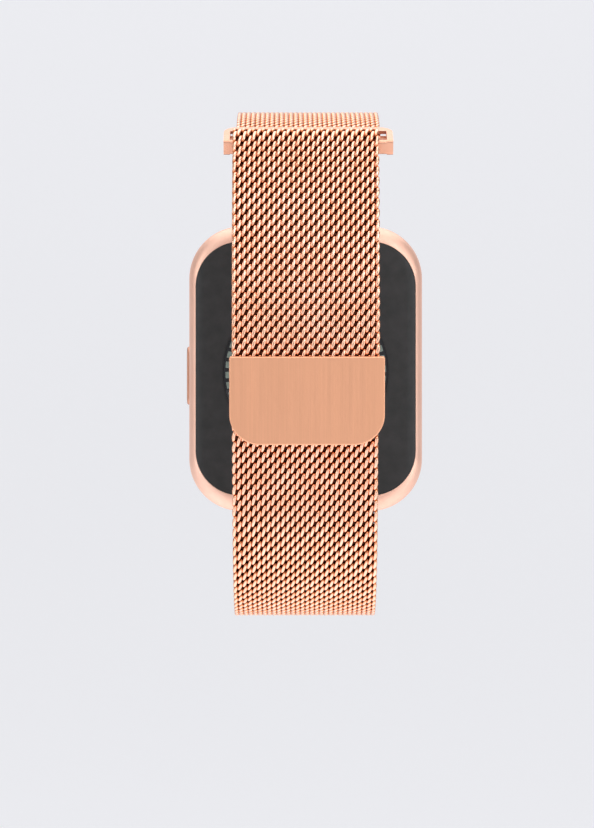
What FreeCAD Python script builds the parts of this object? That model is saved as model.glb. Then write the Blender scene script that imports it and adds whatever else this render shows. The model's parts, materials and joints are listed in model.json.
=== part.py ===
"""Smartwatch with a woven metal loop band, closed as it is on a wrist.

The origin is the middle of the wrist opening. +X runs across the band, +Y leaves the
display, and +Z points to the twelve o'clock end of the case. Lengths are millimetres.
The band's course lies in the YZ plane and is made of arcs and lines that meet tangentially.
"""
import FreeCAD, Part
import math
import os

# ---------------------------------------------------------------- driving dimensions
# case
case_width = 35.0
case_length = 42.8
case_thickness = 10.6
case_corner = 7.85
case_edge = 2.4
back_y = 24.4
front_y = back_y + case_thickness
middle_y = back_y + case_thickness / 2

# back cover, its seal, and the sensor window
cover_width = 33.0
cover_length = 38.0
cover_corner = 6.7
cover_thickness = 1.0
back_seal = 0.2
panel_gap = 0.05
sensor_z = -0.5
window_radius = 12.3
window_rise = 1.1
window_proud = 0.2
flange_radius = 13.3
flange_thickness = 0.6

# cover glass and display
glass_width = 33.4
glass_length = 41.2
glass_corner = 7.05
glass_thickness = 2.0
display_seal = 0.3
display_width = 29.6
display_length = 37.0
display_corner = 5.0
display_thickness = 1.1
display_pocket = (31.0, 38.8, 5.8)
display_floor_y = 31.6

# inside of the case
cavity_width = 31.2
cavity_length = 33.0
cavity_corner = 2.5
boss_x = 14.2
boss_z = 15.1
boss_radius = 1.5
boss_start_y = 27.0
chassis_y = 30.65
chassis_thickness = 0.4
screw_radius = 0.4
screw_head_radius = 0.95
screw_head_height = 0.35
screw_length = 2.4
screw_play = 0.15
screw_slot_half = 0.6
screw_slot_width = 0.2
screw_slot_floor = 0.15

# optical sensor and charging coil
sensor_standoff = 0.7
sensor_board_radius = 6.8
sensor_board_thickness = 0.5
led_size = 1.0
led_ring = 2.2
diode_size = 2.2
diode_ring = 4.9
coil_outer = 12.6
coil_bore = 7.4
coil_thickness = 0.5
ferrite_margin = 0.2
ferrite_thickness = 0.3
magnet_disc_radius = 4.0
magnet_disc_thickness = 0.5

# battery and boards
battery_x = (-6.5, 12.3)
battery_z = (-16.0, 6.3)
battery_start_y = 27.75
battery_corner = 0.9
board_x = (-12.4, 12.4)
board_y = (28.6, 29.3)
board_z = (7.3, 16.2)
chip_height = 0.7
chip_layout = ((-9.5, 11.5, 4.6, 5.4), (-2.5, 12.0, 6.0, 5.0), (4.4, 11.0, 4.0, 4.0), (9.4, 12.6, 3.2, 2.4))
shield_x = (-10.0, 6.6)
shield_z = (8.0, 15.4)
flex_x = (8.0, 12.0)
flex_z = (12.0, 12.2)
flex_room = 0.4
part_play = 0.2

# vibration motor
motor_x = -11.2
motor_z = -11.6
motor_radius = 3.0
motor_wall = 0.2
motor_start_y = 28.05
motor_shaft_radius = 0.3
motor_shaft_play = 0.05
rotor_y = (28.6, 29.9)
rotor_hub_radius = 0.9
rotor_play = 0.2

# side button
button_length = 8.8
button_width = 2.6
button_proud = 0.42
button_z = -1.0
button_head = 1.07
button_edge = 0.3
pocket_depth = 1.1
button_play = 0.04
stem_radius = 0.8
stem_end_x = -13.8
stem_groove = 0.2
clip_thickness = 0.3
clip_play = 0.05
clip_radius = 1.5
clip_mouth = 0.8
clip_room_x = -14.6
clip_room = 1.9
seal_start_x = -16.1
seal_squeeze = 0.02
seal_width = 0.4
seal_play = 0.05
dome_radius = 0.9
switch_face_x = -13.3
switch_depth = 1.6
switch_half = 2.0
switch_start_y = 28.2
bracket_thickness = 0.3
bracket_half = 3.0
bracket_start_y = 27.6

# band
band_width = 20.0
band_thickness = 1.4
layer_gap = 2.3
short_band_shift = 0.25
long_band_shift = -0.2
tail_shift = -0.1
clasp_shift = 0.05

# joint of the band with the case
bar_y = 28.6
bar_z = 19.6
channel_width = 20.8
channel_depth = 3.8
channel_y = (26.3, 30.7)
strap_tube_radius = 1.5
strap_tube_bore = 0.95
strap_tube_length = 19.6
sleeve_radius = 0.85
sleeve_bore = 0.62
sleeve_half_length = 9.4
pin_radius = 0.5
pin_tip_x = 11.3
pin_body_radius = 0.6
release_pin_inner_x = -5.0
fixed_pin_inner_x = 7.4
knob_x = -8.2
knob_radius = 0.4
knob_reach = 2.1
knob_play = 0.1
knob_window_play = 0.4
knob_window_half = 0.65
release_travel = 1.4
pin_play = 0.03
pin_hole_play = 0.2
bar_step = 0.1
bar_spring_radius = 0.42
bar_spring_wire = 0.2
bar_spring_turns = 10

# course of the long band, from the case round the front to the fold
bottom_y = 2.63
bottom_z = -34.85
lower_front_radius = 21.14
front_lean = 15.5
front_straight = 8.9
front_radius = 55.0
fold_course_radius = 64.2
fold_lean = 23.6

# tail that folds back over the ring, and the clasp on it
tail_radius = 65.4
clasp_lean = 6.0
clasp_width = 20.85
clasp_length = 11.9
clasp_plate_thickness = 0.8
clasp_corner = 4.1
clasp_top = 3.7
clasp_top_corner = 0.3
clasp_edge = 0.2
clasp_pocket_play = 0.15
clasp_pocket_floor = -0.05
clasp_inset = 0.3
clasp_body_back = 2.5
clasp_cover_thickness = 0.3
magnet_width = 5.4
magnet_pitch = 6.2
magnet_thickness = 1.4
magnet_z = (-6.3, 2.4)

# ring that the long band passes through
ring_tilt = 24.0
ring_width = 23.1
ring_inner_width = 21.4
ring_length = 5.5
ring_thickness = 2.2
ring_corner = 2.0
front_bar = 1.0
front_bar_height = 2.0
bar_rounding = 0.45
slot_length = 2.9
ring_roof = 0.45
ring_pivot_u = 4.2
ring_pivot_n = -0.3
ring_pin_radius = 0.4
ring_pin_half_length = 11.1
ring_tube_radius = 0.85
ring_tube_bore = 0.45
ring_tube_length = 19.8

# course of the short band, from the ring over the top to the case
top_radius = 56.0


# ---------------------------------------------------------------- small helpers
def vec(x, y, z):
    return FreeCAD.Vector(x, y, z)


def block(x_from, x_to, y_from, y_to, z_from, z_to):
    """Box between two corners."""
    return Part.makeBox(x_to - x_from, y_to - y_from, z_to - z_from, vec(x_from, y_from, z_from))


def rod_x(radius, x_from, x_to, y, z):
    """Cylinder along X."""
    return Part.makeCylinder(radius, x_to - x_from, vec(x_from, y, z), vec(1, 0, 0))


def rod_y(radius, y_from, y_to, x, z):
    """Cylinder along Y."""
    return Part.makeCylinder(radius, y_to - y_from, vec(x, y_from, z), vec(0, 1, 0))


def tube_x(outer, bore, x_from, x_to, y, z):
    return rod_x(outer, x_from, x_to, y, z).cut(rod_x(bore, x_from, x_to, y, z))


def tube_y(outer, bore, y_from, y_to, x, z):
    return rod_y(outer, y_from, y_to, x, z).cut(rod_y(bore, y_from, y_to, x, z))


def edges_along(shape, axis):
    """Straight edges of a box-like shape that run along one axis, 0, 1 or 2."""
    return [e for e in shape.Edges if abs(e.tangentAt(e.FirstParameter)[axis]) > 0.999]


def plate(width, length, corner, y_from, y_to, x=0.0, z=0.0):
    """Plate with round corners, lying across Y."""
    box = block(x - width / 2, x + width / 2, y_from, y_to, z - length / 2, z + length / 2)
    return box.makeFillet(corner, edges_along(box, 1))


def frame_of(outer, inner, y_from, y_to):
    """Flat frame between two round-cornered outlines, each (width, length, corner)."""
    return plate(*outer, y_from, y_to).cut(plate(*inner, y_from, y_to))


def pill_x(length, width, x_from, x_to, y, z):
    """Pill-shaped bar along X whose long axis is Z."""
    reach = (length - width) / 2
    middle = block(x_from, x_to, y - width / 2, y + width / 2, z - reach, z + reach)
    ends = [rod_x(width / 2, x_from, x_to, y, z + side * reach) for side in (-1, 1)]
    return middle.multiFuse(ends).removeSplitter()


def edges_at(shape, axis, value):
    """Edges that lie in the plane where one coordinate has a given value."""
    found = []
    for edge in shape.Edges:
        low = (edge.BoundBox.XMin, edge.BoundBox.YMin, edge.BoundBox.ZMin)[axis]
        high = (edge.BoundBox.XMax, edge.BoundBox.YMax, edge.BoundBox.ZMax)[axis]
        if abs(low - value) < 1e-4 and abs(high - value) < 1e-4:
            found.append(edge)
    return found


def export(name, shape):
    shape.exportStep("parts/%s.step" % name)


# ---------------------------------------------------------------- band courses in the YZ plane
def arc(centre, radius, start, end):
    """Arc of a course: centre (y, z), radius, start and end angles in degrees from +Y."""
    return {"centre": centre, "radius": radius, "angles": (start, end)}


def line(start, end):
    return {"ends": (start, end)}


def place_on(run, share, offset):
    """Point (y, z) at a share of a run, moved to the left of its direction by an offset."""
    if "ends" in run:
        (y0, z0), (y1, z1) = run["ends"]
        length = math.hypot(y1 - y0, z1 - z0)
        left = (-(z1 - z0) / length, (y1 - y0) / length)
        y = y0 + share * (y1 - y0) + offset * left[0]
        z = z0 + share * (z1 - z0) + offset * left[1]
        return y, z
    start, end = run["angles"]
    turn = 1 if end > start else -1
    angle = math.radians(start + share * (end - start))
    radius = run["radius"] - turn * offset
    y0, z0 = run["centre"]
    return y0 + radius * math.cos(angle), z0 + radius * math.sin(angle)


def run_edge(run, offset, x):
    """Edge of a run at a lateral offset."""
    points = [vec(x, *place_on(run, share, offset)) for share in (0.0, 0.5, 1.0)]
    if "ends" in run:
        return Part.makeLine(points[0], points[2])
    return Part.Arc(*points).toShape()


def strip(course, thickness, x_middle, width):
    """Solid band of one thickness along a course."""
    x = x_middle - width / 2
    half = thickness / 2
    edges = [run_edge(run, half, x) for run in course]
    edges += [run_edge(run, -half, x) for run in course]
    for run, share in ((course[0], 0.0), (course[-1], 1.0)):
        edges.append(Part.makeLine(vec(x, *place_on(run, share, half)),
                                   vec(x, *place_on(run, share, -half))))
    outline = Part.Wire(Part.__sortEdges__(edges))
    return Part.Face(outline).extrude(vec(width, 0, 0))


def long_band_course():
    """From the lower bar round under the wrist and up the front to the fold."""
    half_chord = bar_y - bottom_y
    rise = -bar_z - bottom_z
    lug_radius = (half_chord ** 2 + rise ** 2) / (2 * rise)
    lug_centre = (bottom_y, bottom_z + lug_radius)
    lug_angle = math.degrees(math.atan2(-bar_z - lug_centre[1], half_chord))
    under_lug = arc(lug_centre, lug_radius, lug_angle, -90.0)
    low_centre = (bottom_y, bottom_z + lower_front_radius)
    low = arc(low_centre, lower_front_radius, -90.0, front_lean - 180.0)
    foot = place_on(low, 1.0, 0.0)
    lean = math.radians(front_lean)
    knee = (foot[0] - front_straight * math.sin(lean), foot[1] + front_straight * math.cos(lean))
    straight = line(foot, knee)
    front_centre = (knee[0] + front_radius * math.cos(lean), knee[1] + front_radius * math.sin(lean))
    front = arc(front_centre, front_radius, front_lean + 180.0, 180.0)
    crest = place_on(front, 1.0, 0.0)
    upper_radius = fold_course_radius - (layer_gap + band_thickness) / 2
    upper = arc((crest[0] + upper_radius, crest[1]), upper_radius, 180.0, 180.0 - fold_lean)
    return [under_lug, low, straight, front, upper]


def fold_centre():
    """Middle of the ring's front bar, round which the long band folds."""
    top = place_on(long_band_course()[-1], 1.0, 0.0)
    reach = (layer_gap + band_thickness) / 2
    lean = math.radians(fold_lean)
    return top[0] - reach * math.cos(lean), top[1] + reach * math.sin(lean)


def fold_course():
    reach = (layer_gap + band_thickness) / 2
    return [arc(fold_centre(), reach, -fold_lean, 180.0 - fold_lean)]


def tail_course():
    """From the fold down the outside to the clasp."""
    start = place_on(fold_course()[-1], 1.0, 0.0)
    lean = math.radians(fold_lean)
    centre = (start[0] + tail_radius * math.cos(lean), start[1] - tail_radius * math.sin(lean))
    return [arc(centre, tail_radius, 180.0 - fold_lean, 180.0 + clasp_lean)]


def ring_place(u, n):
    """Point (y, z) from the ring's own coordinates: u towards its rear edge, n outwards."""
    tilt = math.radians(ring_tilt)
    y0, z0 = fold_centre()
    y = y0 + u * math.cos(tilt) - n * math.sin(tilt)
    z = z0 + u * math.sin(tilt) + n * math.cos(tilt)
    return y, z


def short_band_course():
    """From the upper bar over the top of the wrist to the ring's pivot."""
    pivot = ring_place(ring_pivot_u, ring_pivot_n)
    tilt = math.radians(ring_tilt)
    top_y = pivot[0] + top_radius * math.sin(tilt)
    top_z = pivot[1] + top_radius * (1 - math.cos(tilt))
    reach = bar_y - top_y
    drop = top_z - bar_z
    lug_radius = (reach ** 2 + drop ** 2) / (2 * drop)
    lug_centre = (top_y, top_z - lug_radius)
    lug_angle = math.degrees(math.atan2(bar_z - lug_centre[1], reach))
    over_lug = arc(lug_centre, lug_radius, lug_angle, 90.0)
    over = arc((top_y, top_z - top_radius), top_radius, 90.0, 90.0 + ring_tilt)
    return [over_lug, over]


# ---------------------------------------------------------------- case
def pebble():
    """Outer form of the closed case."""
    body = plate(case_width, case_length, case_corner, back_y, front_y)
    rims = edges_at(body, 1, back_y) + edges_at(body, 1, front_y)
    return body.makeFillet(case_edge, rims)


def boss_places():
    return [(x * boss_x, z * boss_z) for x in (-1, 1) for z in (-1, 1)]


def make_case_frame():
    past = 1.0
    body = pebble()
    rebate_y = back_y + cover_thickness + back_seal
    body = body.cut(plate(cover_width, cover_length, cover_corner, back_y - past, rebate_y))
    body = body.cut(plate(cavity_width, cavity_length, cavity_corner, rebate_y - past, display_floor_y))
    glass_seat_y = front_y - glass_thickness - display_seal
    body = body.cut(plate(*display_pocket, display_floor_y, glass_seat_y))
    body = body.cut(plate(glass_width, glass_length, glass_corner, glass_seat_y, front_y + past))
    for x, z in boss_places():
        body = body.fuse(rod_y(boss_radius, boss_start_y, chassis_y, x, z))
        body = body.cut(rod_y(screw_radius, chassis_y - screw_length, chassis_y, x, z))
    for side in (-1, 1):
        inner_z = side * (case_length / 2 - channel_depth)
        outer_z = side * (case_length / 2 + past)
        body = body.cut(block(-channel_width / 2, channel_width / 2, *channel_y,
                              min(inner_z, outer_z), max(inner_z, outer_z)))
        hole_end = pin_tip_x + pin_hole_play
        body = body.cut(rod_x(pin_radius + pin_play, -hole_end, hole_end, bar_y, side * bar_z))
    outer_x = -case_width / 2
    play = 2 * button_play
    body = body.cut(pill_x(button_length + play, button_width + play, outer_x - past,
                           outer_x + pocket_depth, middle_y, button_z))
    body = body.cut(rod_x(stem_radius + button_play, outer_x, -cavity_width / 2 + past,
                          middle_y, button_z))
    seal_groove = rod_x(stem_radius + seal_width + seal_play, seal_start_x, -cavity_width / 2,
                        middle_y, button_z)
    return body.cut(seal_groove).removeSplitter()


def make_back_cover():
    outline = plate(cover_width - 2 * panel_gap, cover_length - 2 * panel_gap, cover_corner - panel_gap,
                    back_y, back_y + cover_thickness)
    hole = rod_y(window_radius + panel_gap, back_y, back_y + cover_thickness, 0, sensor_z)
    return pebble().common(outline).cut(hole)


def make_sensor_window():
    """Domed window with a flange behind the back cover."""
    rim_y = back_y - window_proud
    inner_y = back_y + cover_thickness
    sphere_radius = (window_radius ** 2 + window_rise ** 2) / (2 * window_rise)
    sphere = Part.makeSphere(sphere_radius, vec(0, rim_y - window_rise + sphere_radius, sensor_z))
    cap = sphere.common(rod_y(window_radius, rim_y - window_rise - 1, rim_y, 0, sensor_z))
    drum = rod_y(window_radius, rim_y, inner_y, 0, sensor_z)
    flange = rod_y(flange_radius, inner_y, inner_y + flange_thickness, 0, sensor_z)
    return cap.multiFuse([drum, flange]).removeSplitter()


def make_cover_glass():
    outline = plate(glass_width - 2 * panel_gap, glass_length - 2 * panel_gap, glass_corner - panel_gap,
                    front_y - glass_thickness, front_y)
    return pebble().common(outline)


def case_shells():
    seal_y = back_y + cover_thickness
    seal_outer = (cover_width - 0.4, cover_length - 0.4, cover_corner - 0.2)
    seal_inner = (cavity_width + 0.3, cover_length - 3.0, cover_corner - 0.8)
    glass_y = front_y - glass_thickness
    glass_outer = (glass_width - 0.2, glass_length - 0.2, glass_corner - 0.1)
    return {
        "case_frame": make_case_frame(),
        "back_cover": make_back_cover(),
        "back_gasket": frame_of(seal_outer, seal_inner, seal_y, seal_y + back_seal),
        "sensor_window": make_sensor_window(),
        "display_gasket": frame_of(glass_outer, display_pocket, glass_y - display_seal, glass_y),
        "display_panel": plate(display_width, display_length, display_corner,
                               glass_y - display_thickness, glass_y),
        "cover_glass": make_cover_glass(),
    }


# ---------------------------------------------------------------- inside of the case
def chip_on_ring(size, ring, angle, y_from, y_to):
    """Square chip whose middle is at an angle on a ring round the sensor's axis."""
    x = ring * math.cos(angle)
    z = sensor_z + ring * math.sin(angle)
    half = size / 2
    return block(x - half, x + half, y_from, y_to, z - half, z + half)


def sensor_parts():
    """Optical sensor, charging coil and magnet behind the window."""
    face_y = back_y + cover_thickness + flange_thickness
    board_front = face_y + sensor_standoff
    board_back = board_front + sensor_board_thickness
    leds = []
    diodes = []
    for quarter in range(4):
        angle = math.radians(90 * quarter)
        leds.append(chip_on_ring(led_size, led_ring, angle, face_y, board_front))
        diodes.append(chip_on_ring(diode_size, diode_ring, angle + math.radians(45), face_y, board_front))
    coil_end = face_y + coil_thickness
    return {
        "sensor_leds": Part.makeCompound(leds),
        "sensor_photodiodes": Part.makeCompound(diodes),
        "sensor_board": rod_y(sensor_board_radius, board_front, board_back, 0, sensor_z),
        "charging_coil": tube_y(coil_outer, coil_bore, face_y, coil_end, 0, sensor_z),
        "ferrite_shield": tube_y(coil_outer + ferrite_margin, coil_bore - ferrite_margin,
                                 coil_end, coil_end + ferrite_thickness, 0, sensor_z),
        "alignment_magnet": rod_y(magnet_disc_radius, board_back, board_back + magnet_disc_thickness,
                                  0, sensor_z),
    }


def electronics():
    """Battery, boards and the plate that carries them."""
    battery = block(*battery_x, battery_start_y, chassis_y, *battery_z)
    battery = battery.makeFillet(battery_corner, edges_along(battery, 1))
    chips = []
    for x, z, size_x, size_z in chip_layout:
        chips.append(block(x - size_x / 2, x + size_x / 2, board_y[0] - chip_height, board_y[0],
                           z - size_z / 2, z + size_z / 2))
    head_y = chassis_y + chassis_thickness
    chassis = plate(cavity_width - 2 * part_play, cavity_length - 2 * part_play,
                    cavity_corner - part_play, chassis_y, head_y)
    chassis = chassis.cut(block(flex_x[0] - flex_room, flex_x[1] + flex_room, chassis_y, head_y,
                                flex_z[0] - flex_room, flex_z[1] + flex_room))
    chassis = chassis.cut(block(-cavity_width / 2, clip_room_x, chassis_y, head_y,
                                button_z - clip_room, button_z + clip_room))
    screws = []
    for x, z in boss_places():
        chassis = chassis.cut(rod_y(screw_radius + screw_play, chassis_y, head_y, x, z))
        head = rod_y(screw_head_radius, head_y, head_y + screw_head_height, x, z)
        slot = block(x - screw_slot_half, x + screw_slot_half, head_y + screw_slot_floor,
                     head_y + screw_head_height, z - screw_slot_width / 2, z + screw_slot_width / 2)
        shank = rod_y(screw_radius, chassis_y - screw_length, head_y, x, z)
        screws.append(head.cut(slot).fuse(shank).removeSplitter())
    return {
        "battery": battery,
        "main_board": block(*board_x, *board_y, *board_z),
        "board_chips": Part.makeCompound(chips),
        "shield_can": block(*shield_x, board_y[1], chassis_y, *shield_z),
        "inner_chassis": chassis,
        "chassis_screws": Part.makeCompound(screws),
        "display_flex": block(*flex_x, board_y[1], front_y - glass_thickness - display_thickness, *flex_z),
    }


def vibration_motor():
    """Coin motor with an off-centre rotor."""
    place = (motor_x, motor_z)
    inner_radius = motor_radius - motor_wall
    inside_y = (motor_start_y + motor_wall, chassis_y - motor_wall)
    shell = rod_y(motor_radius, motor_start_y, chassis_y, *place)
    shell = shell.cut(rod_y(inner_radius, *inside_y, *place))
    half_disc = rod_y(inner_radius - rotor_play, *rotor_y, *place)
    half_disc = half_disc.common(block(motor_x - motor_radius, motor_x + motor_radius, *rotor_y,
                                       motor_z - motor_radius, motor_z))
    rotor = rod_y(rotor_hub_radius, *rotor_y, *place).fuse(half_disc)
    rotor = rotor.cut(rod_y(motor_shaft_radius + motor_shaft_play, *rotor_y, *place))
    return {
        "vibration_motor_shell": shell,
        "vibration_motor_shaft": rod_y(motor_shaft_radius, *inside_y, *place),
        "vibration_motor_rotor": rotor.removeSplitter(),
    }


def side_button_parts():
    """Pressed button with its seal, clip, switch dome, switch and bracket."""
    outer_x = -case_width / 2
    wall_x = -cavity_width / 2
    head_end_x = outer_x - button_proud + button_head
    head = pill_x(button_length, button_width, outer_x - button_proud, head_end_x, middle_y, button_z)
    head = head.makeFillet(button_edge, edges_at(head, 0, outer_x - button_proud))
    stem = rod_x(stem_radius, head_end_x, stem_end_x, middle_y, button_z)
    clip_x = (wall_x + clip_play, wall_x + clip_play + clip_thickness)
    groove = tube_x(stem_radius, stem_radius - stem_groove, *clip_x, middle_y, button_z)
    clip = tube_x(clip_radius, stem_radius - stem_groove, *clip_x, middle_y, button_z)
    mouth = block(*clip_x, middle_y, middle_y + clip_radius,
                  button_z - clip_mouth / 2, button_z + clip_mouth / 2)
    switch_end_x = switch_face_x + switch_depth
    bracket_end_x = switch_end_x + bracket_thickness
    return {
        "side_button": head.fuse(stem).cut(groove).removeSplitter(),
        "button_clip": clip.cut(mouth),
        "button_gasket": tube_x(stem_radius + seal_width, stem_radius + seal_squeeze, seal_start_x, wall_x,
                                middle_y, button_z),
        "switch_dome": rod_x(dome_radius, stem_end_x, switch_face_x, middle_y, button_z),
        "tact_switch": block(switch_face_x, switch_end_x, switch_start_y, chassis_y,
                             button_z - switch_half, button_z + switch_half),
        "button_bracket": block(switch_end_x, bracket_end_x, bracket_start_y, chassis_y,
                                button_z - bracket_half, button_z + bracket_half),
    }


# ---------------------------------------------------------------- quick-release bars
def coil_spring(x_from, x_to, radius, wire, turns, y, z):
    """Compression spring along X."""
    height = x_to - x_from - 2 * wire
    helix = Part.makeHelix(height / turns, height, radius)
    section = Part.Wire(Part.makeCircle(wire / 2, vec(radius, 0, 0), vec(0, 1, 0)))
    coil = Part.Wire(helix).makePipeShell([section], True, True)
    coil.rotate(vec(0, 0, 0), vec(0, 1, 0), 90)
    coil.translate(vec(x_from + wire, y, z))
    return coil


def bar_parts(end, z):
    """Sprung bar at one end of the case: its knob is pulled in to free the pin."""
    sleeve = tube_x(sleeve_radius, sleeve_bore, -sleeve_half_length, sleeve_half_length, bar_y, z)
    slot_width = 2 * knob_radius + knob_play
    slot = block(knob_x - knob_radius - knob_play, knob_x + knob_radius + release_travel + knob_play,
                 bar_y - knob_reach, bar_y, z - slot_width / 2, z + slot_width / 2)
    step_x = sleeve_half_length - bar_step
    fixed = rod_x(sleeve_bore, fixed_pin_inner_x, sleeve_half_length, bar_y, z)
    fixed = fixed.fuse(rod_x(pin_radius, sleeve_half_length, pin_tip_x, bar_y, z))
    release = rod_x(pin_body_radius, -step_x, release_pin_inner_x, bar_y, z)
    release = release.fuse(rod_x(pin_radius, -pin_tip_x, -step_x, bar_y, z))
    release = release.fuse(rod_y(knob_radius, bar_y - knob_reach, bar_y, knob_x, z))
    spring = coil_spring(release_pin_inner_x, fixed_pin_inner_x, bar_spring_radius, bar_spring_wire,
                         bar_spring_turns, bar_y, z)
    return {
        end + "_bar_sleeve": sleeve.cut(slot),
        end + "_bar_fixed_pin": fixed.removeSplitter(),
        end + "_release_pin": release.removeSplitter(),
        end + "_bar_spring": spring,
    }


def strap_tube(shift, z):
    """Tube at the end of a woven band, with the window for the release knob."""
    half = strap_tube_length / 2
    tube = tube_x(strap_tube_radius, strap_tube_bore, shift - half, shift + half, bar_y, z)
    window = block(knob_x - knob_radius - knob_window_play,
                   knob_x + knob_radius + release_travel + knob_window_play,
                   bar_y - knob_reach, bar_y, z - knob_window_half, z + knob_window_half)
    return tube.cut(window)


# ---------------------------------------------------------------- band, ring and clasp
def short_band_parts():
    pivot = ring_place(ring_pivot_u, ring_pivot_n)
    mesh = strip(short_band_course(), band_thickness, short_band_shift, band_width)
    span = (-band_width, band_width)
    mesh = mesh.cut(rod_x(strap_tube_radius, *span, bar_y, bar_z))
    mesh = mesh.cut(rod_x(ring_tube_radius, *span, *pivot))
    half = ring_tube_length / 2
    return {
        "upper_strap_tube": strap_tube(short_band_shift, bar_z),
        "short_mesh": mesh,
        "ring_end_tube": tube_x(ring_tube_radius, ring_tube_bore, short_band_shift - half,
                                short_band_shift + half, *pivot),
    }


def make_ring():
    """Ring in its own frame: X across, Y to its rear edge, Z outwards."""
    half = ring_width / 2
    inner = ring_inner_width / 2
    top = ring_thickness / 2
    front = -front_bar / 2
    rear = front + ring_length
    slot_start = front_bar / 2
    body = block(-half, half, front, rear, -top, top)
    rear_corners = [e for e in edges_along(body, 2) if e.CenterOfMass.y > 0]
    body = body.makeFillet(ring_corner, rear_corners)
    front_edges = [e for e in edges_along(body, 0) if e.CenterOfMass.y < 0]
    body = body.makeFillet(bar_rounding, front_edges)
    body = body.cut(block(-inner, inner, front, slot_start + slot_length, -top, top))
    body = body.cut(block(-inner, inner, slot_start, rear, -top, top - ring_roof))
    bar_top = front_bar_height / 2
    bar = block(-inner, inner, front, slot_start, -bar_top, bar_top)
    bar = bar.makeFillet(bar_rounding, edges_along(bar, 0))
    body = body.fuse(bar).removeSplitter()
    return body.cut(rod_x(ring_pin_radius, -half, half, ring_pivot_u, ring_pivot_n))


def ring_parts():
    ring = make_ring()
    pin = rod_x(ring_pin_radius, -ring_pin_half_length, ring_pin_half_length, ring_pivot_u, ring_pivot_n)
    y0, z0 = fold_centre()
    for piece in (ring, pin):
        piece.rotate(vec(0, 0, 0), vec(1, 0, 0), ring_tilt)
        piece.translate(vec(short_band_shift, y0, z0))
    return {"buckle_ring": ring, "ring_hinge_pin": pin}


def long_band_parts():
    mesh = strip(long_band_course(), band_thickness, long_band_shift, band_width)
    mesh = mesh.cut(rod_x(strap_tube_radius, -band_width, band_width, bar_y, -bar_z))
    return {
        "lower_strap_tube": strap_tube(long_band_shift, -bar_z),
        "long_mesh": mesh,
        "strap_fold": strip(fold_course(), band_thickness, tail_shift, band_width),
    }


def clasp_plate_outline(inset, y_from, y_to):
    """Clasp outline with large lower corners, in the clasp's own frame."""
    half = clasp_width / 2 - inset
    top = clasp_top - inset
    bottom = clasp_top - clasp_length + inset
    body = block(-half, half, y_from, y_to, bottom, top)
    lower = [e for e in edges_along(body, 1) if e.CenterOfMass.z < 0]
    body = body.makeFillet(clasp_corner - inset, lower)
    upper = [e for e in edges_along(body, 1) if e.CenterOfMass.z > top - clasp_top_corner]
    return body.makeFillet(clasp_top_corner, upper)


def clasp_parts():
    """Clasp in its own frame: Z up along it, Y inwards, origin at the tail's end."""
    half = band_thickness / 2
    plate_front = -half - clasp_plate_thickness
    front_plate = clasp_plate_outline(0.0, plate_front, -half)
    front_plate = front_plate.makeFillet(clasp_edge, edges_at(front_plate, 1, plate_front))
    body = clasp_plate_outline(clasp_inset, -half, clasp_body_back)
    body = body.cut(block(-clasp_width, clasp_width, -half, half + clasp_pocket_play,
                          clasp_pocket_floor, clasp_top))
    magnets = []
    for place in (-1, 0, 1):
        x = place * magnet_pitch
        bed = (x - magnet_width / 2, x + magnet_width / 2, clasp_body_back - magnet_thickness,
               clasp_body_back, *magnet_z)
        magnets.append(block(*bed))
        body = body.cut(block(*bed))
    cover = clasp_plate_outline(clasp_inset, clasp_body_back, clasp_body_back + clasp_cover_thickness)
    pieces = {
        "clasp_plate": front_plate,
        "clasp_body": body,
        "clasp_magnets": Part.makeCompound(magnets),
        "clasp_inner_cover": cover,
    }
    y0, z0 = place_on(tail_course()[-1], 1.0, 0.0)
    for piece in pieces.values():
        piece.rotate(vec(0, 0, 0), vec(1, 0, 0), clasp_lean)
        piece.translate(vec(clasp_shift, y0, z0))
    return pieces


def main():
    os.makedirs("parts", exist_ok=True)
    pieces = {}
    pieces.update(case_shells())
    pieces.update(sensor_parts())
    pieces.update(electronics())
    pieces.update(vibration_motor())
    pieces.update(side_button_parts())
    pieces.update(bar_parts("upper", bar_z))
    pieces.update(bar_parts("lower", -bar_z))
    pieces.update(short_band_parts())
    pieces.update(ring_parts())
    pieces.update(long_band_parts())
    pieces["tail_mesh"] = strip(tail_course(), band_thickness, tail_shift, band_width)
    pieces.update(clasp_parts())
    for name, shape in pieces.items():
        export(name, shape)
        box = shape.BoundBox
        print("%-24s solids %d valid %s volume %9.3f  x %.2f..%.2f y %.2f..%.2f z %.2f..%.2f" % (
            name, len(shape.Solids), shape.isValid(), shape.Volume,
            box.XMin, box.XMax, box.YMin, box.YMax, box.ZMin, box.ZMax))


main()
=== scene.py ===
"""Looks of a smartwatch with a woven rose gold loop band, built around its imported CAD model.

Lengths in this file are millimetres until a mesh, a light or the camera is made, which are in metres.
The watch keeps the frame's axes: +X across the band, +Y out through the display, +Z to twelve o'clock.
"""
import json
import math

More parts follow.
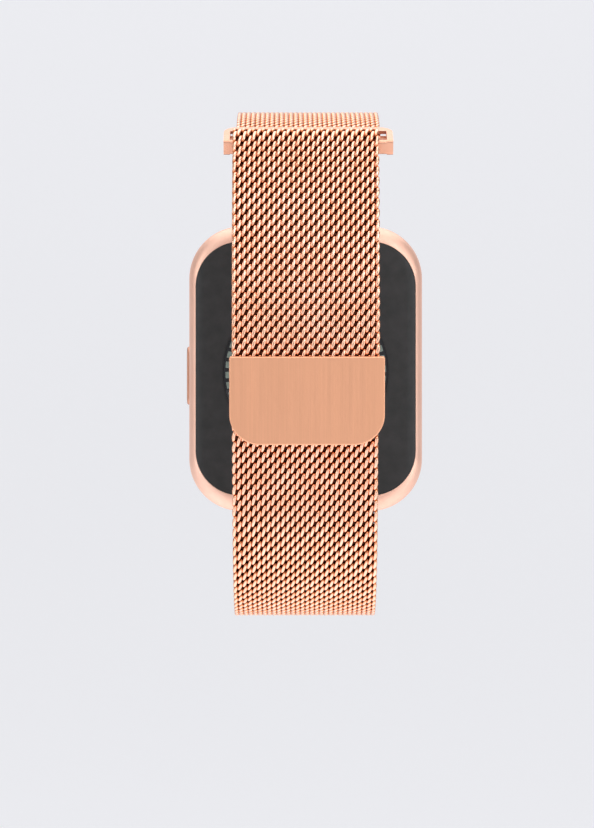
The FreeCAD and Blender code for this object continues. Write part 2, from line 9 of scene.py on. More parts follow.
import bpy
import bmesh
import numpy as np
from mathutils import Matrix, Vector


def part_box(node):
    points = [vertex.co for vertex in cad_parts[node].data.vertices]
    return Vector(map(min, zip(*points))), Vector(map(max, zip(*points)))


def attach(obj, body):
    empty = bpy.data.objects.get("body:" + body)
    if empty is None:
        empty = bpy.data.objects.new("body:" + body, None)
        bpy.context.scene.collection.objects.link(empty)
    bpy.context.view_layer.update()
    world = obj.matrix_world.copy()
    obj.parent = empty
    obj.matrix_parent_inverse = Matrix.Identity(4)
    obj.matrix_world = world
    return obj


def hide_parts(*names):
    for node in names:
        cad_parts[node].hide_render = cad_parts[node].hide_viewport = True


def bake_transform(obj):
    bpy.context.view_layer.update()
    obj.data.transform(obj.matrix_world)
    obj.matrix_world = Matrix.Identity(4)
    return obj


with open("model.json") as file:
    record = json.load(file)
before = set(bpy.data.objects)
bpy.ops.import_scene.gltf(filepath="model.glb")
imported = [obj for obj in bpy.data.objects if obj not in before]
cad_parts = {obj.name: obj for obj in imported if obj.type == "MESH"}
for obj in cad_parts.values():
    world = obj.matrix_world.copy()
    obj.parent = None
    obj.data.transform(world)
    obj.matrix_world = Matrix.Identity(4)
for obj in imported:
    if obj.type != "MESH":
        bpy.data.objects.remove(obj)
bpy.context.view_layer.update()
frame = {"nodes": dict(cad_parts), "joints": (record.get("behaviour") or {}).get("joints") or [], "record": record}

MM = 0.001

# ---------------------------------------------------------------- camera
camera_distance = 456.5      # from the middle of the wrist opening, on the clasp's side
camera_x = -1.3
camera_z = -6.8
lens = 139.7
sensor_size = 36.0
clip_start = 10.0

# ---------------------------------------------------------------- band course
band_width = 20.0
band_thickness = 1.4
band_shift = {"short": 0.25, "long": -0.2, "tail": -0.1}      # along X
bottom_y = 2.63                          # where the band is lowest
lower_front_radius = 21.14
front_lean = math.radians(15.5)          # of the straight run, from upright
front_straight = 8.9
front_radius = 55.0
fold_course_radius = 64.2                # from the middle of the long band's last arc to the fold's
fold_lean = math.radians(23.6)
fold_radius = 1.85
tail_radius = 65.4
tail_end_lean = math.radians(6.0)
top_radius = 56.0                        # of the short band over the wrist
ring_tilt = math.radians(24.0)
lug_tube_radius = 1.5                    # of the end tubes that the weave starts from
ring_tube_radius = 0.85

# ---------------------------------------------------------------- weave
coil_pitch = 4 / 3           # along X, one turn of a wire
row_pitch = 0.76             # along the band, from one coil to the next
wire_radius = 0.27
tip_thinning = 0.26          # share of the radius lost from a strand's rolled middle to its ends
coil_half_height = 0.74      # along the band, to the wire's middle
coil_half_depth = 0.51       # through the band, to the wire's middle
squareness = 0.38            # 1 for an elliptical coil, less for one with flatter faces
lag = 0.08                   # draws a strand's ends towards its middle along X, so that it is straight
lag_sharpness = 4            # higher keeps the draw closer to the strand's ends
wire_sides = 8
steps_per_turn = 20
short_end = 0.27             # turns past an outermost strand that lies in front
long_end = 0.77              # turns past an outermost strand when one behind it is still to come
edge_inset = 0.03            # keeps the outermost strands straight along the band's edges
edge_glow = 0.5              # the wires' painted shade fades out over this width towards the band's cut edges, so they are as bright as its faces
shade_strip_inset = 0.6             # of the dark strip of painted shade inside the weave, from the band's edges
shade_strip_half_depth = 0.04
shade_strip_step = 0.5
rows_per_piece = 40

# ---------------------------------------------------------------- smooth copies
weld_distance = 0.0005
flat_angle = math.radians(0.5)           # faces that turn less than this are one face
crease_angle = math.radians(35.0)        # edges that turn more than this stay sharp
clasp_crease_angle = math.radians(12.0)


# ---------------------------------------------------------------- courses in the plane of Y and Z
def joint_place(name):
    """Point (y, z) that a joint turns about."""
    joint = next(j for j in frame["joints"] if j["name"] == name)
    return joint["pos_m"][1] / MM, joint["pos_m"][2] / MM


def arc(centre, radius, start, end):
    """Run round a circle, between two angles."""
    return {"centre": centre, "radius": radius, "start": start, "turn": 1 if end > start else -1,
            "length": radius * abs(end - start)}


def line(start, end):
    """Straight run between two points."""
    length = math.hypot(end[0] - start[0], end[1] - start[1])
    heading = ((end[0] - start[0]) / length, (end[1] - start[1]) / length)
    return {"from": start, "heading": heading, "length": length}


def run_places(run, s):
    """Points and left-hand normals at distances s along one run, as arrays of (y, z)."""
    if "from" in run:
        y0, z0 = run["from"]
        hy, hz = run["heading"]
        points = np.stack([y0 + s * hy, z0 + s * hz], -1)
        normals = np.broadcast_to(np.array([-hz, hy]), points.shape)
        return points, normals
    angle = run["start"] + run["turn"] * s / run["radius"]
    outward = np.stack([np.cos(angle), np.sin(angle)], -1)
    return np.array(run["centre"]) + run["radius"] * outward, -run["turn"] * outward


def course_places(course, s):
    """Points and left-hand normals along a whole course. Beyond its ends the last run goes on."""
    points = np.zeros(s.shape + (2,))
    normals = np.zeros(s.shape + (2,))
    start = 0.0
    for index, run in enumerate(course):
        end = start + run["length"]
        inside = np.ones(s.shape, bool)
        if index > 0:
            inside &= s >= start
        if index < len(course) - 1:
            inside &= s < end
        points[inside], normals[inside] = run_places(run, s[inside] - start)
        start = end
    return points, normals


def course_length(course):
    """Length of a whole course."""
    return sum(run["length"] for run in course)


def on_circle(centre, radius, angle):
    """Point of a circle at an angle."""
    return centre[0] + radius * math.cos(angle), centre[1] + radius * math.sin(angle)


def lug_arc_radius(reach, drop):
    """Radius of the arc that leaves a bar and becomes level after a given reach and drop."""
    return (reach ** 2 + drop ** 2) / (2 * drop)


def long_band_course():
    """From the lower bar under the wrist and up the front to the fold."""
    bar_y, bar_z = joint_place("lower_band_hinge")
    bottom_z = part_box("long_mesh")[0].z / MM + band_thickness / 2
    radius = lug_arc_radius(bar_y - bottom_y, bar_z - bottom_z)
    centre = (bottom_y, bottom_z + radius)
    under_lug = arc(centre, radius, math.atan2(bar_z - centre[1], bar_y - bottom_y), -math.pi / 2)
    low_centre = (bottom_y, bottom_z + lower_front_radius)
    low = arc(low_centre, lower_front_radius, -math.pi / 2, front_lean - math.pi)
    foot = on_circle(low_centre, lower_front_radius, front_lean - math.pi)
    knee = (foot[0] - front_straight * math.sin(front_lean),
            foot[1] + front_straight * math.cos(front_lean))
    front_centre = on_circle(knee, front_radius, front_lean)
    front = arc(front_centre, front_radius, math.pi + front_lean, math.pi)
    upper_radius = fold_course_radius - fold_radius
    upper_centre = (front_centre[0] - front_radius + upper_radius, front_centre[1])
    upper = arc(upper_centre, upper_radius, math.pi, math.pi - fold_lean)
    return [under_lug, low, line(foot, knee), front, upper]


def fold_course():
    """Half a turn round the ring's front bar."""
    centre = joint_place("tail_hinge")
    return [arc(centre, fold_radius, -fold_lean, math.pi - fold_lean)]


def tail_course():
    """Down the outside from the fold to the clasp."""
    start = on_circle(joint_place("tail_hinge"), fold_radius, math.pi - fold_lean)
    centre = on_circle(start, tail_radius, -fold_lean)
    return [arc(centre, tail_radius, math.pi - fold_lean, math.pi + tail_end_lean)]


def short_band_course():
    """From the upper bar over the wrist to the ring."""
    bar_y, bar_z = joint_place("upper_band_hinge")
    pivot = joint_place("ring_hinge")
    top = (pivot[0] + top_radius * math.sin(ring_tilt),
           pivot[1] + top_radius * (1 - math.cos(ring_tilt)))
    radius = lug_arc_radius(bar_y - top[0], top[1] - bar_z)
    centre = (top[0], top[1] - radius)
    over_lug = arc(centre, radius, math.atan2(bar_z - centre[1], bar_y - top[0]), math.pi / 2)
    over = arc((top[0], top[1] - top_radius), top_radius, math.pi / 2, math.pi / 2 + ring_tilt)
    return [over_lug, over]


# ---------------------------------------------------------------- woven wire
def coil_path(phase_shift):
    """Middle line of one flattened coil: (x, s, n) with s along the band and n through it."""
    start = -long_end if phase_shift else -short_end
    end = band_width / coil_pitch - 1 + (short_end if phase_shift else long_end)
    turn = np.linspace(start, end, int(round((end - start) * steps_per_turn)) + 1)
    angle = 2 * np.pi * turn
    first_front = -band_width / 2 + coil_pitch / 4 + phase_shift * coil_pitch / 2
    half = band_width / 2 - wire_radius - edge_inset
    drawn_in = lag * np.sin(2 * angle) * np.sin(angle) ** lag_sharpness
    x = np.clip(first_front + coil_pitch * turn - drawn_in, -half, half)
    s = coil_half_height * np.sin(angle)
    n = coil_half_depth * np.sign(np.cos(angle)) * np.abs(np.cos(angle)) ** squareness
    return np.stack([x, s, n], -1)


def wire_surface(path):
    """Rings of points round a wire's middle line, with the band's two faces rolled flat."""
    heading = np.gradient(path, axis=0)
    heading /= np.linalg.norm(heading, axis=1, keepdims=True)
    side = np.cross(heading, np.array([1.0, 0.0, 0.0]))
    side /= np.linalg.norm(side, axis=1, keepdims=True)
    other = np.cross(heading, side)
    radius = wire_radius * (1 - tip_thinning * (path[:, 1] / coil_half_height) ** 2)[:, None, None]
    angles = (np.arange(wire_sides) + 0.5) * 2 * np.pi / wire_sides
    rings = (path[:, None, :]
             + radius * np.cos(angles)[None, :, None] * side[:, None, :]
             + radius * np.sin(angles)[None, :, None] * other[:, None, :])
    rings[:, :, 2] = np.clip(rings[:, :, 2], -band_thickness / 2, band_thickness / 2)
    return rings


def tube_faces(ring_count, sides):
    """Quads between neighbouring rings, and the two end caps."""
    ring = np.arange(ring_count - 1)[:, None] * sides
    corner = np.arange(sides)[None, :]
    following = (corner + 1) % sides
    quads = np.stack([ring + corner, ring + following,
                      ring + sides + following, ring + sides + corner], -1).reshape(-1, 4)
    first_cap = np.arange(sides)[::-1]
    last_cap = np.arange(sides) + (ring_count - 1) * sides
    return quads, np.stack([first_cap, last_cap])


def shade_strip(course, start, end, shift):
    """Points and quads of a thin dark strip inside the band, painted shade that shows between the outer strands.
    """
    s = np.linspace(start, end, int((end - start) / shade_strip_step) + 2)
    places, normals = course_places(course, s)
    middle = np.array([shift(distance) for distance in s])
    half = band_width / 2 - shade_strip_inset
    corners = []
    for side, lift in ((-1, -1), (-1, 1), (1, 1), (1, -1)):
        x = middle + side * half
        corners.append(np.concatenate([x[:, None], places + lift * shade_strip_half_depth * normals], -1))
    quads, caps = tube_faces(len(s), len(corners))
    return np.stack(corners, 1).reshape(-1, 3), np.concatenate([quads, caps])


def mesh_from_arrays(name, points, quads, caps, depth):
    """Mesh object from arrays: points in mm, quads, cap polygons, and a depth value per point."""
    mesh = bpy.data.meshes.new(name)
    mesh.vertices.add(len(points))
    mesh.vertices.foreach_set("co", (points * MM).astype(np.float32).ravel())
    corners = np.concatenate([quads.ravel(), caps.ravel()])
    sizes = np.concatenate([np.full(len(quads), 4), np.full(len(caps), wire_sides)])
    starts = np.concatenate([[0], np.cumsum(sizes)[:-1]])
    mesh.loops.add(len(corners))
    mesh.loops.foreach_set("vertex_index", corners.astype(np.int32))
    mesh.polygons.add(len(sizes))
    mesh.polygons.foreach_set("loop_start", starts.astype(np.int32))
    mesh.polygons.foreach_set("loop_total", sizes.astype(np.int32))
    mesh.polygons.foreach_set("use_smooth", np.ones(len(sizes), bool))
    mesh.update(calc_edges=True)
    mesh.validate()
    # The depth value per point drives the wire material's painted shade and painted highlight.
    attribute = mesh.attributes.new("depth", "FLOAT", "POINT")
    attribute.data.foreach_set("value", depth.astype(np.float32))
    piece = bpy.data.objects.new(name, mesh)
    bpy.context.scene.collection.objects.link(piece)
    return piece


def woven_piece(name, course, rows, shift, material):
    """Woven band from the coils at distances rows along a course; shift(s) moves them along X."""
    surfaces = [wire_surface(coil_path(parity)) for parity in (0, 1)]
    points, depths, quads, caps = [], [], [], []
    total = 0
    for index, distance in rows:
        rings = surfaces[index % 2]
        s = distance + rings[:, :, 1]
        places, normals = course_places(course, s)
        spots = places + rings[:, :, 2, None] * normals
        x = rings[:, :, 0] + shift(distance)
        points.append(np.concatenate([x[..., None], spots], -1).reshape(-1, 3))
        # Mask of the wire's painted shade and painted highlight: points deeper into the band are painted darker,
        # and within edge_glow of the band's edges the painted shade is lifted.
        depth = np.abs(rings[:, :, 2]) / (band_thickness / 2)
        edge = (np.abs(rings[:, :, 0]) - (band_width / 2 - edge_glow)) / edge_glow
        depths.append(np.maximum(depth, edge).ravel())
        faces, ends = tube_faces(len(rings), wire_sides)
        quads.append(faces + total)
        caps.append(ends + total)
        total += rings.shape[0] * rings.shape[1]
    # The dark strip of painted shade inside the weave gets depth 0, so it takes the darkest painted-shade colour.
    strip_start = rows[0][1] - row_pitch / 2
    strip_end = rows[-1][1] + row_pitch / 2
    strip_points, strip_quads = shade_strip(course, strip_start, strip_end, shift)
    points.append(strip_points)
    depths.append(np.zeros(len(strip_points)))
    quads.append(strip_quads + total)
    piece = mesh_from_arrays(name, np.concatenate(points), np.concatenate(quads),
                             np.concatenate(caps), np.concatenate(depths))
    piece.data.materials.append(material)
    return piece


# ---------------------------------------------------------------- materials
MIX_FACTOR, MIX_FIRST, MIX_SECOND = 0, 6, 7       # a colour Mix node's sockets
MIX_RESULT = 2
EVEN = (0.3, 0.7)                                 # stretch of noise values that counts


class Nodes:
    """Short way to write a material's node tree."""

    def __init__(self, name):
        self.material = bpy.data.materials.new(name)
        self.material.use_nodes = True
        self.tree = self.material.node_tree
        self.shader = self.tree.nodes["Principled BSDF"]

    def add(self, kind, inputs=None, **settings):
        """New node with its settings, and its inputs, each a value or a socket to link."""
        node = self.tree.nodes.new(kind)
        for key, value in settings.items():
            setattr(node, key, value)
        for key, value in (inputs or {}).items():
            if isinstance(value, bpy.types.NodeSocket):
                self.tree.links.new(value, node.inputs[key])
            else:
                node.inputs[key].default_value = value
        return node

    def set(self, **values):
        """Gives the shader's own inputs a value or a link. An underscore stands for a space."""
        for key, value in values.items():
            socket = self.shader.inputs[key.replace("_", " ")]
            if isinstance(value, bpy.types.NodeSocket):
                self.tree.links.new(value, socket)
            else:
                socket.default_value = value

    def position(self, scale=(1.0, 1.0, 1.0)):
        """Object coordinates in mm, stretched by a scale."""
        coords = self.add("ShaderNodeTexCoord").outputs["Object"]
        factor = tuple(s / MM for s in scale)
        return self.add("ShaderNodeMapping", {"Vector": coords, "Scale": factor}).outputs["Vector"]

    def noise(self, scale, detail=4.0, stretch=(1.0, 1.0, 1.0)):
        """Noise with scale grains a mm, drawn out along the axes where stretch is small."""
        return self.add("ShaderNodeTexNoise", {"Vector": self.position(stretch), "Scale": scale,
                                               "Detail": detail}).outputs["Fac"]

    def ramp(self, value, low, high, first, last):
        """Value mapped in a straight line from [first, last] to [low, high]."""
        node = self.add("ShaderNodeMapRange", {"Value": value, "From Min": first, "From Max": last,
                                               "To Min": low, "To Max": high})
        return node.outputs["Result"]

    def blend(self, factor, first, second):
        """Mix of two colours, each an RGB triple or a socket."""
        node = self.add("ShaderNodeMix", data_type="RGBA")
        for place, value in ((MIX_FACTOR, factor), (MIX_FIRST, first), (MIX_SECOND, second)):
            if isinstance(value, bpy.types.NodeSocket):
                self.tree.links.new(value, node.inputs[place])
            else:
                node.inputs[place].default_value = value + (1.0,)
        return node.outputs[MIX_RESULT]

    def mottle(self, first, second, scale, stretch=EVEN):
        """Two colours that drift into each other, by a noise."""
        return self.blend(self.ramp(self.noise(scale), 0.0, 1.0, *stretch), first, second)

    def uneven(self, low, high, scale):
        """Value that drifts between low and high, by a noise."""
        return self.ramp(self.noise(scale), low, high, *EVEN)

    def bump(self, height, strength, distance):
        """Surface relief of a height in mm."""
        node = self.add("ShaderNodeBump", {"Height": height, "Strength": strength,
                                           "Distance": distance * MM})
        self.set(Normal=node.outputs["Normal"])


# Wire colours by depth in the band. The two rolled-face colours drift into each other at random and are painted
# paler than the metal, a painted highlight. The third is painted shade on the wires' sides, and the fourth is
# painted shade in the hollows between wires and on the strip inside.
ROSE = (0.93, 0.54, 0.37)
ROSE_LIGHT = (0.98, 0.65, 0.49)
ROSE_SIDE_SHADE = (0.78, 0.26, 0.09)
ROSE_HOLLOW_SHADE = (0.16, 0.03, 0.006)
SIDE_SHADE_DEPTHS = (0.58, 0.84)       # from the deep painted shade to the sides' painted shade, 1 at the band's faces
FACE_HIGHLIGHT_DEPTHS = (0.80, 0.99)       # from the sides' painted shade to the rolled faces' colour, paler as a painted highlight
SHADE_STRIP_DEPTHS = (0.0, 0.05)        # from the dull dark strip of painted shade inside to metal


def wire_material():
    """Polished rose gold wire with painted light by depth: a painted highlight paler towards the rolled faces,
    painted shade orange on the sides and dark deeper in; at depth 0, the dull dark strip of painted shade inside.
    """
    n = Nodes("rose_gold_wire")
    depth = n.add("ShaderNodeAttribute", attribute_name="depth").outputs["Fac"]
    # The rolled faces' colour drifts at random between two tones, both painted paler than the metal as a painted
    # highlight.
    tint = n.mottle(ROSE, ROSE_LIGHT, 0.35, (0.35, 0.65))
    # Painted shade: the dark colour in the hollows, the orange colour on the wires' sides.
    lower = n.blend(n.ramp(depth, 0.0, 1.0, *SIDE_SHADE_DEPTHS), ROSE_HOLLOW_SHADE, ROSE_SIDE_SHADE)
    # Near the band's faces the painted highlight takes over from the painted shade.
    n.set(Base_Color=n.blend(n.ramp(depth, 0.0, 1.0, *FACE_HIGHLIGHT_DEPTHS), lower, tint))
    # The strip of painted shade inside is dull and not metal.
    n.set(Metallic=n.ramp(depth, 0.0, 1.0, *SHADE_STRIP_DEPTHS))
    polish = n.uneven(0.14, 0.24, 3.0)
    dullness = n.ramp(depth, 0.8, 0.0, *SHADE_STRIP_DEPTHS)
    roughness = n.add("ShaderNodeMath", {0: polish, 1: dullness}, operation="MAXIMUM")
    n.set(Roughness=roughness.outputs[0])
    n.bump(n.noise(14.0, 3.0), 0.15, 0.02)
    return n.material


def satin_material(name, first, second, roughness):
    """Bead-blasted, anodised metal."""
    n = Nodes(name)
    n.set(Base_Color=n.mottle(first, second, 0.08, (0.4, 0.6)), Metallic=1.0)
    n.set(Roughness=n.uneven(roughness - 0.04, roughness + 0.05, 1.5))
    n.bump(n.noise(18.0, 2.0), 0.2, 0.01)
    return n.material


def brushed_material():
    """Rose gold brushed along the band."""
    n = Nodes("brushed_rose_gold")
    lines = n.noise(1.0, 6.0, (16.0, 0.02, 0.08))
    broad = n.noise(1.0, 3.0, (1.6, 0.02, 0.05))
    tint = n.blend(n.ramp(lines, 0.0, 1.0, *EVEN), (0.78, 0.395, 0.235), (0.835, 0.42, 0.255))
    n.set(Base_Color=tint, Metallic=1.0)
    n.set(Roughness=n.ramp(broad, 0.38, 0.46, *EVEN))
    n.bump(lines, 0.3, 0.01)
    return n.material


def panel_material():
    """Charcoal composite with a fine grain."""
    n = Nodes("charcoal_panel")
    tint = n.mottle((0.019, 0.020, 0.020), (0.029, 0.028, 0.029), 0.6)
    n.set(Base_Color=tint, Specular_IOR_Level=0.3)
    n.set(Roughness=n.uneven(0.42, 0.55, 4.0))
    n.bump(n.noise(22.0, 2.0), 0.15, 0.01)
    return n.material


def dark_glass_material(name, colour):
    """Polished glass with black behind it."""
    n = Nodes(name)
    lighter = tuple(1.4 * c for c in colour)
    tint = n.mottle(colour, lighter, 0.2, (0.4, 0.6))
    n.set(Base_Color=tint, Coat_Weight=1.0, Coat_Roughness=0.03, Specular_IOR_Level=0.1)
    n.set(Roughness=n.uneven(0.05, 0.09, 1.0))
    return n.material


def plain_material(name, colour, metallic, roughness, grain):
    """Matte or metallic finish with slight unevenness, for small and inner parts."""
    n = Nodes(name)
    dark = tuple(0.8 * c for c in colour)
    n.set(Base_Color=n.mottle(dark, colour, grain, (0.35, 0.65)), Metallic=metallic)
    n.set(Roughness=n.uneven(roughness - 0.06, roughness + 0.06, grain * 3))
    n.bump(n.noise(grain * 8), 0.15, 0.01)
    return n.material


def print_material():
    """Pale grey-green print."""
    n = Nodes("pale_print")
    tint = n.mottle((0.14, 0.17, 0.15), (0.20, 0.24, 0.21), 6.0)
    n.set(Base_Color=tint, Specular_IOR_Level=0.1)
    n.set(Roughness=n.uneven(0.7, 0.8, 3.0))
    return n.material


materials = {
    "band_mesh": wire_material(),
    "case_metal": satin_material("satin_rose_gold", (0.87, 0.55, 0.43), (0.90, 0.59, 0.47), 0.5),
    "band_fittings": satin_material("fine_rose_gold", (0.76, 0.39, 0.26), (0.79, 0.42, 0.29), 0.30),
    "clasp_metal": brushed_material(),
    "back_panel": panel_material(),
    "sensor_window": dark_glass_material("sensor_glass", (0.012, 0.012, 0.014)),
    "cover_glass": dark_glass_material("front_glass", (0.004, 0.004, 0.005)),
    "display": plain_material("display_stack", (0.01, 0.01, 0.012), 0.0, 0.3, 1.0),
    "seal": plain_material("black_rubber", (0.02, 0.02, 0.02), 0.0, 0.7, 2.0),
    "clear_package": plain_material("led_package", (0.45, 0.55, 0.40), 0.0, 0.2, 2.0),
    "chip": plain_material("chip_epoxy", (0.02, 0.02, 0.022), 0.0, 0.5, 2.0),
    "board": plain_material("green_board", (0.02, 0.13, 0.06), 0.0, 0.35, 1.0),
    "copper": plain_material("enamelled_copper", (0.70, 0.30, 0.14), 1.0, 0.35, 3.0),
    "ferrite": plain_material("ferrite", (0.04, 0.04, 0.045), 0.0, 0.6, 2.0),
    "magnet": plain_material("nickel_magnet", (0.62, 0.60, 0.57), 1.0, 0.25, 1.0),
    "battery_foil": plain_material("battery_foil", (0.30, 0.31, 0.33), 1.0, 0.35, 0.5),
    "steel": plain_material("stainless_steel", (0.56, 0.56, 0.57), 1.0, 0.30, 2.0),
    "flex": plain_material("amber_film", (0.55, 0.26, 0.05), 0.0, 0.35, 1.0),
    "rotor_weight": plain_material("sintered_weight", (0.25, 0.25, 0.26), 1.0, 0.5, 2.0),
}


# ---------------------------------------------------------------- pieces
def node_slots():
    """Material slot of each node."""
    return {s["node"]: s["material_slot"] for s in frame["record"]["subparts"]}


def node_bodies():
    """Body of each node."""
    bodies = frame["record"]["behaviour"]["bodies"]
    return {node: body for body, nodes in bodies.items() for node in nodes}


SLOTS = node_slots()
BODIES = node_bodies()


def dress_cad_nodes():
    """Gives every carried-over CAD node its material."""
    for name, node in frame["nodes"].items():
        node.data.materials.clear()
        node.data.materials.append(materials[SLOTS[name]])


def smooth_copy(name, node_name, crease=crease_angle):
    """Piece with a CAD node's shape, its split points joined and its round faces smooth."""
    piece = bpy.data.objects.new(name, frame["nodes"][node_name].data.copy())
    bpy.context.scene.collection.objects.link(piece)
    mesh = bmesh.new()
    mesh.from_mesh(piece.data)
    bmesh.ops.remove_doubles(mesh, verts=mesh.verts, dist=weld_distance * MM)
    bmesh.ops.dissolve_limit(mesh, angle_limit=flat_angle, verts=mesh.verts, edges=mesh.edges)
    for face in mesh.faces:
        face.smooth = True
    for edge in mesh.edges:
        edge.smooth = len(edge.link_faces) == 2 and edge.calc_face_angle() < crease
    mesh.to_mesh(piece.data)
    mesh.free()
    weighted = piece.modifiers.new("even_normals", "WEIGHTED_NORMAL")
    weighted.keep_sharp = True
    weighted.weight = 100        # the largest faces decide
    piece.data.materials.clear()
    piece.data.materials.append(materials[SLOTS[node_name]])
    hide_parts(node_name)
    return piece


def make_finished_parts():
    """The outer metal, glass and panels, each in place of its CAD node."""
    for name in ("case_frame", "back_cover", "sensor_window", "cover_glass", "buckle_ring",
                 "clasp_body", "clasp_inner_cover", "upper_strap_tube", "lower_strap_tube"):
        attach(smooth_copy(name + "_finished", name), BODIES[name])
    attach(smooth_copy("clasp_plate_finished", "clasp_plate", clasp_crease_angle), "tail")
    button = smooth_copy("side_button_finished", "side_button")
    button.data.materials[0] = satin_material("button_rose_gold", (0.52, 0.26, 0.18),
                                              (0.56, 0.29, 0.20), 0.4)
    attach(button, "button")


def make_springs():
    """Springs of the two lug bars, as smooth copies that stay where they are; they do not shorten as a release pin
    is pushed in.
    """
    for end in ("upper", "lower"):
        node_name = end + "_bar_spring"
        spring = smooth_copy(node_name + "_finished", node_name)
        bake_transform(spring)


def weave_in_pieces(name, node_name, course, rows, shift):
    """Numbered pieces of weave that together replace one node of the band."""
    for number, start in enumerate(range(0, len(rows), rows_per_piece), 1):
        piece = woven_piece("%s_%d" % (name, number), course, rows[start:start + rows_per_piece],
                            shift, materials["band_mesh"])
        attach(piece, BODIES[node_name])
        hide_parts(node_name)


def make_long_band():
    """The long course, which runs on through the fold into the tail."""
    long_course = long_band_course()
    fold_start = course_length(long_course)
    fold_end = fold_start + course_length(fold_course())
    whole = long_course + fold_course() + tail_course()

    def long_shift(s):
        share = min(max((s - fold_start) / (fold_end - fold_start), 0.0), 1.0)
        return band_shift["long"] + share * (band_shift["tail"] - band_shift["long"])

    first = lug_tube_radius + coil_half_height
    tail_end = course_length(whole) - coil_half_height
    count = int((tail_end - first) / row_pitch) + 1
    rows = [(k, first + k * row_pitch) for k in range(count)]
    long_rows = [r for r in rows if r[1] < fold_start]
    fold_rows = [r for r in rows if fold_start <= r[1] < fold_end]
    tail_rows = [r for r in rows if r[1] >= fold_end]
    weave_in_pieces("long_weave", "long_mesh", whole, long_rows, long_shift)
    weave_in_pieces("tail_weave", "tail_mesh", whole, tail_rows, long_shift)
    fold = woven_piece("fold_weave", whole, fold_rows, long_shift, materials["band_mesh"])
    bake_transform(fold)
    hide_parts("strap_fold")


def make_short_band():
    """The short course, whose last coil lies against the ring's tube."""
    course = short_band_course()
    first = lug_tube_radius + coil_half_height
    last = course_length(course) - ring_tube_radius - coil_half_height
    count = int((last - first) / row_pitch) + 1
    offset = last - (count - 1) * row_pitch
    rows = [(k, offset + k * row_pitch) for k in range(count)]
    weave_in_pieces("short_weave", "short_mesh", course, rows, lambda s: band_shift["short"])


def make_sensor_print():
    """Ring of plain dashes printed near the rim of the sensor window."""
    low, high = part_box("sensor_window")
    centre = (low + high) / 2 / MM
    rim_y = low.y / MM
    inner, outer = 11.2, 12.0
    window_radius, window_rise = 12.3, 1.1
    sphere = (window_radius ** 2 + window_rise ** 2) / (2 * window_rise)
    lift = 0.02                  # of the print above the window, and its depth below
    dashes = 48
    filled = 0.62                # of each dash's share of the ring
    steps = 5
    corners = ((inner, lift), (outer, lift), (outer, -lift), (inner, -lift))
    mesh = bmesh.new()

    def dome_y(radius):
        """Height of the domed window at a distance from its middle."""
        return rim_y + sphere - math.sqrt(sphere ** 2 - radius ** 2)

    for dash in range(dashes):
        start = 2 * math.pi * dash / dashes
        width = 2 * math.pi * filled / dashes
        columns = []
        for step in range(steps):
            angle = start + width * step / (steps - 1)
            column = []
            for radius, rise in corners:
                point = Vector((centre.x + radius * math.cos(angle), dome_y(radius) - rise,
                                centre.z + radius * math.sin(angle)))
                column.append(mesh.verts.new(point * MM))
            columns.append(column)
        for first, second in zip(columns, columns[1:]):
            for k in range(len(corners)):
                following = (k + 1) % len(corners)
                mesh.faces.new((first[k], first[following], second[following], second[k]))
        mesh.faces.new(columns[0][::-1])
        mesh.faces.new(columns[-1])
    bmesh.ops.recalc_face_normals(mesh, faces=mesh.faces)
    data = bpy.data.meshes.new("sensor_print")
    mesh.to_mesh(data)
    mesh.free()
    piece = bpy.data.objects.new("sensor_print", data)
    bpy.context.scene.collection.objects.link(piece)
    data.materials.append(print_material())
    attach(piece, BODIES["sensor_window"])


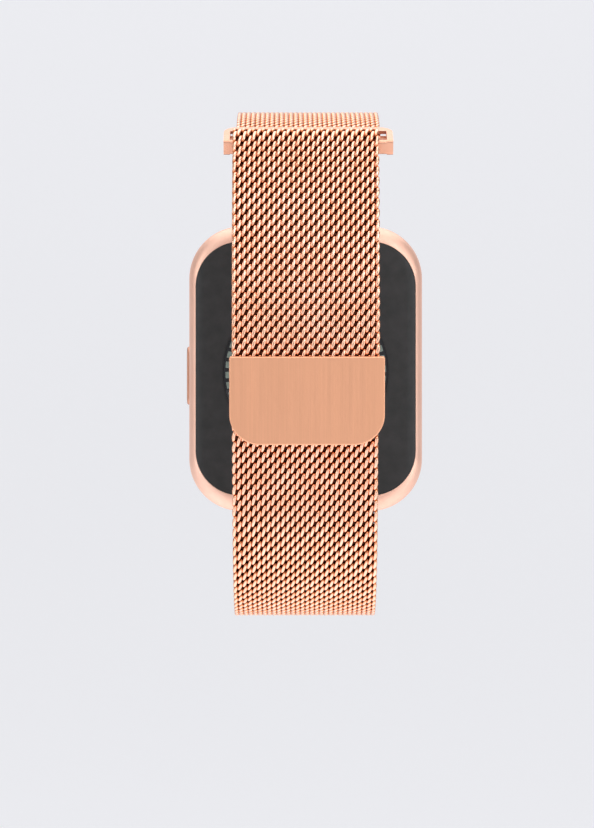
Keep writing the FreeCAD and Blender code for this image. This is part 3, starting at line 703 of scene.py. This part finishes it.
# ---------------------------------------------------------------- studio
def make_floor():
    """Pale sweep: a floor that curves up into a wall behind the watch."""
    n = Nodes("pale_floor")
    tint = n.mottle((0.45, 0.455, 0.47), (0.46, 0.465, 0.48), 0.002)
    n.set(Base_Color=tint, Roughness=0.9)
    n.set(Emission_Color=(0.97, 0.97, 1.0, 1.0), Emission_Strength=0.575)
    floor_z = -420.0
    front_y = -6000.0
    bend_y = 2200.0
    bend = 900.0
    wall_top_z = 5000.0
    half_width = 6000.0
    steps = 24
    profile = [(front_y, floor_z)]
    for step in range(steps + 1):
        angle = -math.pi / 2 + math.pi / 2 * step / steps
        profile.append((bend_y + bend * math.cos(angle), floor_z + bend + bend * math.sin(angle)))
    profile.append((bend_y + bend, wall_top_z))
    points = [(side * half_width * MM, y * MM, z * MM) for y, z in profile for side in (-1, 1)]
    faces = [(2 * k, 2 * k + 1, 2 * k + 3, 2 * k + 2) for k in range(len(profile) - 1)]
    data = bpy.data.meshes.new("floor")
    data.from_pydata(points, [], faces)
    for polygon in data.polygons:
        polygon.use_smooth = True
    floor = bpy.data.objects.new("floor", data)
    bpy.context.scene.collection.objects.link(floor)
    data.materials.append(n.material)


def area_light(name, place, size, power):
    """Softbox that faces the middle of the watch; power in watts."""
    data = bpy.data.lights.new(name, "AREA")
    data.shape = "RECTANGLE"
    data.size, data.size_y = size[0] * MM, size[1] * MM
    data.energy = power
    light = bpy.data.objects.new(name, data)
    light.location = Vector(place) * MM
    light.rotation_euler = (-light.location).to_track_quat("-Z", "Y").to_euler()
    light.visible_camera = False
    bpy.context.scene.collection.objects.link(light)


def make_studio():
    """Dim even surroundings, six softboxes and the floor."""
    world = bpy.data.worlds.new("studio")
    world.use_nodes = True
    background = world.node_tree.nodes["Background"]
    background.inputs["Color"].default_value = (0.82, 0.83, 0.86, 1.0)
    background.inputs["Strength"].default_value = 0.40
    bpy.context.scene.world = world
    area_light("top_softbox", (0, 100, 950), (1400, 1600), 11.0)
    area_light("front_softbox", (0, -850, 560), (600, 1200), 2.3)
    area_light("key", (350, -800, 380), (250, 450), 1.5)
    area_light("left_softbox", (-900, -500, 200), (500, 900), 3.2)
    area_light("right_softbox", (900, -500, 100), (400, 900), 3.0)
    area_light("floor_softbox", (0, 0, -410), (850, 850), 1.05)
    make_floor()


def make_camera():
    """Level camera that looks along +Y at the clasp."""
    data = bpy.data.cameras.new("camera")
    data.lens = lens
    data.sensor_width = sensor_size
    data.clip_start = clip_start * MM
    camera = bpy.data.objects.new("camera", data)
    camera.location = Vector((camera_x, -camera_distance, camera_z)) * MM
    camera.rotation_euler = (math.pi / 2, 0.0, 0.0)
    bpy.context.scene.collection.objects.link(camera)
    bpy.context.scene.camera = camera


def main():
    bpy.context.scene.view_settings.view_transform = "Standard"
    make_camera()
    make_studio()
    dress_cad_nodes()
    make_long_band()
    make_short_band()
    make_sensor_print()
    make_finished_parts()
    make_springs()


main()
